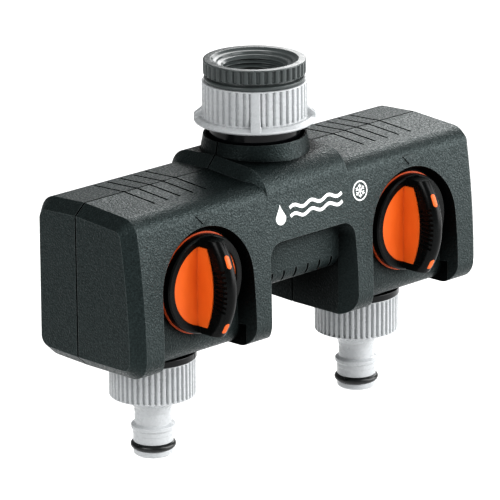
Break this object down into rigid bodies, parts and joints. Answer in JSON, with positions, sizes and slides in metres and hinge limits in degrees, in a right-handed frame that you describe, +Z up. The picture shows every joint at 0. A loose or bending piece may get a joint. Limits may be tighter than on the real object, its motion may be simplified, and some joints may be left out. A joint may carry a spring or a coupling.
{
  "type": "twin tap connector",
  "caption": "Two-way garden tap manifold: threaded swivel inlet, housing with two quarter-turn shut-off knobs, and a quick-connect hose nipple under each valve.",
  "frame": {"origin": "on the inlet axis, at the seat where the tap's end face meets the flat washer in the thread adapter", "axes": "+Z up along the inlet axis, the way the tap leaves; +X along the two outlets, to the right seen from the knobs; -Y the side with the knobs"},
  "size_m": [0.1928, 0.0721, 0.1502],
  "materials": {
    "housing_grey": "fine matte grain",
    "black_plastic": "semi-gloss, moulded",
    "gloss_black": "gloss, moulded",
    "knob_black": "semi-matte, moulded",
    "light_grey": "satin, moulded",
    "orange": "satin, moulded",
    "rubber": "smooth",
    "steel": "zinc plated",
    "valve_plastic": "moulded, glass filled",
    "ball_plastic": "polished",
    "seat_white": "smooth, waxy"
  },
  "bodies": {
    "housing": {"front_shell": "housing_grey", "rear_shell": "housing_grey", "housing_screws": "steel", "inlet_spigot": "gloss_black", "spigot_o_ring": "rubber", "nut_retaining_ring": "valve_plastic", "inlet_washer": "rubber", "manifold_tube": "valve_plastic", "left_valve_body": "valve_plastic", "left_bonnet": "valve_plastic", "left_stem_o_ring": "rubber", "left_outlet_stub": "black_plastic", "left_stub_o_ring": "rubber", "left_upper_seat": "seat_white", "left_lower_seat": "seat_white", "left_tube_o_ring": "rubber", "right_valve_body": "valve_plastic", "right_bonnet": "valve_plastic", "right_stem_o_ring": "rubber", "right_outlet_stub": "black_plastic", "right_stub_o_ring": "rubber", "right_upper_seat": "seat_white", "right_lower_seat": "seat_white", "right_tube_o_ring": "rubber"},
    "union_nut": {"inlet_nut": "light_grey"},
    "adapter_travel": {"tap_washer": "rubber"},
    "adapter": {"inlet_adapter": "black_plastic"},
    "left_valve_core": {"left_knob": "knob_black", "left_knob_insert": "orange", "left_knob_ring": "orange", "left_knob_clip": "steel", "left_stem": "valve_plastic", "left_ball": "ball_plastic"},
    "left_connector_travel": {"left_connector_washer": "rubber"},
    "left_connector_body": {"left_connector": "light_grey", "left_connector_o_ring": "rubber"},
    "right_valve_core": {"right_knob": "knob_black", "right_knob_insert": "orange", "right_knob_ring": "orange", "right_knob_clip": "steel", "right_stem": "valve_plastic", "right_ball": "ball_plastic"},
    "right_connector_travel": {"right_connector_washer": "rubber"},
    "right_connector_body": {"right_connector": "light_grey", "right_connector_o_ring": "rubber"}
  },
  "joints": [
    {"name": "nut_swivel", "type": "hinge", "parent": "housing", "child": "union_nut", "pos_m": [0, 0, -0.0055], "axis": [0, 0, 1], "continuous": true},
    {"name": "adapter_rise", "type": "slide", "parent": "union_nut", "child": "adapter_travel", "axis": [0, 0, 1], "range_m": [0, 0.0116]},
    {"name": "adapter_unscrew", "type": "hinge", "parent": "adapter_travel", "child": "adapter", "pos_m": [0, 0, 0], "axis": [0, 0, 1], "range_deg": [0, 1800]},
    {"name": "left_knob_turn", "type": "hinge", "parent": "housing", "child": "left_valve_core", "pos_m": [-0.0574, -0.0275, -0.0618], "axis": [0, 1, 0], "range_deg": [0, 90]},
    {"name": "left_connector_drop", "type": "slide", "parent": "housing", "child": "left_connector_travel", "axis": [0, 0, -1], "range_m": [0, 0.0109]},
    {"name": "left_connector_unscrew", "type": "hinge", "parent": "left_connector_travel", "child": "left_connector_body", "pos_m": [-0.0574, 0, -0.112], "axis": [0, 0, -1], "range_deg": [0, 2160]},
    {"name": "right_knob_turn", "type": "hinge", "parent": "housing", "child": "right_valve_core", "pos_m": [0.0574, -0.0275, -0.0618], "axis": [0, 1, 0], "range_deg": [0, 90]},
    {"name": "right_connector_drop", "type": "slide", "parent": "housing", "child": "right_connector_travel", "axis": [0, 0, -1], "range_m": [0, 0.0109]},
    {"name": "right_connector_unscrew", "type": "hinge", "parent": "right_connector_travel", "child": "right_connector_body", "pos_m": [0.0574, 0, -0.112], "axis": [0, 0, -1], "range_deg": [0, 2160]}
  ],
  "couplings": [
    {"joint": "adapter_rise", "follows": "adapter_unscrew", "m_per_rad": 0.00036749},
    {"joint": "left_connector_drop", "follows": "left_connector_unscrew", "m_per_rad": 0.0002887},
    {"joint": "right_connector_drop", "follows": "right_connector_unscrew", "m_per_rad": 0.0002887}
  ]
}
